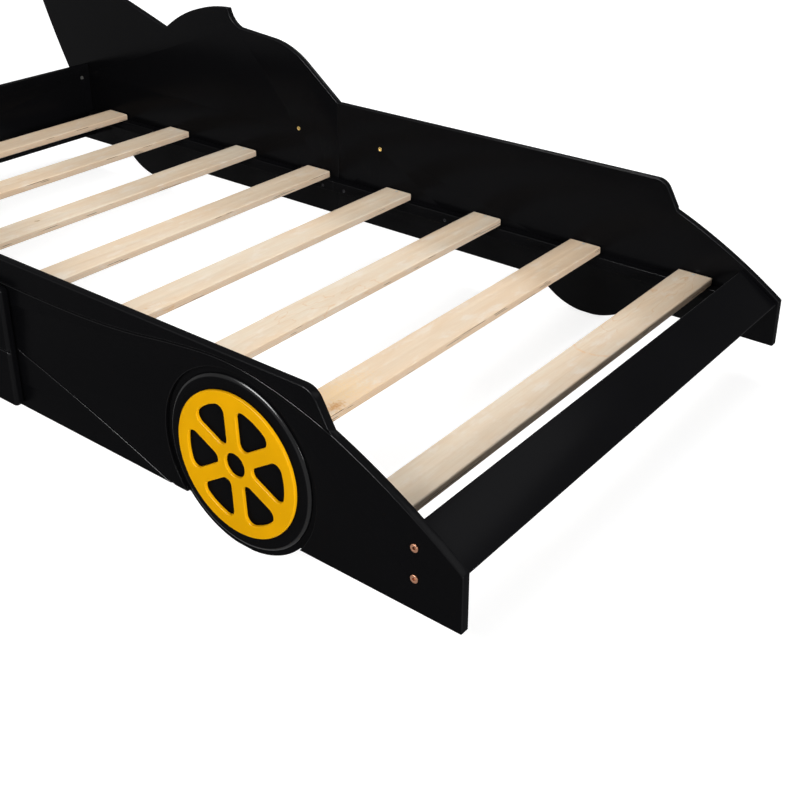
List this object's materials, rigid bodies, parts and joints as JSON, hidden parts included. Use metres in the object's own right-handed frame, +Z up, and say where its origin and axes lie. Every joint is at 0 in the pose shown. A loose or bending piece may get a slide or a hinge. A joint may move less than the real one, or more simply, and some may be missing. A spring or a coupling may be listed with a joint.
{
  "type": "single bed",
  "caption": "Low child's bed shaped as a race car: two painted side boards in halves with wheel rims and door blocks, a head board, a sloped nose board and a slatted base for a single mattress.",
  "frame": {"origin": "bottom centre of the whole bed, on the floor", "axes": "+X towards the nose, +Y towards the left side board, +Z up"},
  "size_m": [2.229, 1.066, 0.582],
  "materials": {
    "black_paint": "satin black paint on fibreboard",
    "yellow_paint": "satin golden yellow paint",
    "slat_ply": "pale birch plywood, unvarnished",
    "bronze_bolt": "bronze-plated steel",
    "brass_bolt": "brass-plated steel",
    "zinc": "bright zinc",
    "dark_screw": "blackened steel",
    "beech": "bare beech"
  },
  "bodies": {
    "root": {"side_front_right": "black_paint", "side_front_left": "black_paint", "side_rear_right": "black_paint", "side_rear_left": "black_paint", "door_block_right": "black_paint", "door_block_left": "black_paint", "rim_front_right": "yellow_paint", "rim_front_left": "yellow_paint", "rim_rear_right": "yellow_paint", "rim_rear_left": "yellow_paint", "head_board": "black_paint", "cross_rail": "black_paint", "nose_board": "black_paint", "slat_rail_front_right": "black_paint", "slat_rail_front_left": "black_paint", "slat_rail_rear_right": "black_paint", "slat_rail_rear_left": "black_paint", "slat_1": "slat_ply", "slat_2": "slat_ply", "slat_3": "slat_ply", "slat_4": "slat_ply", "slat_5": "slat_ply", "slat_6": "slat_ply", "slat_7": "slat_ply", "slat_8": "slat_ply", "nose_bolts": "bronze_bolt", "head_bolts": "bronze_bolt", "nose_barrel_nuts": "zinc", "head_barrel_nuts": "zinc", "door_bolts": "brass_bolt", "door_inserts": "zinc", "rail_screws": "dark_screw", "slat_screws": "zinc", "seam_dowels": "beech", "head_board_dowels": "beech", "cross_rail_dowels": "beech", "nose_board_dowels": "beech"}
  },
  "joints": []
}
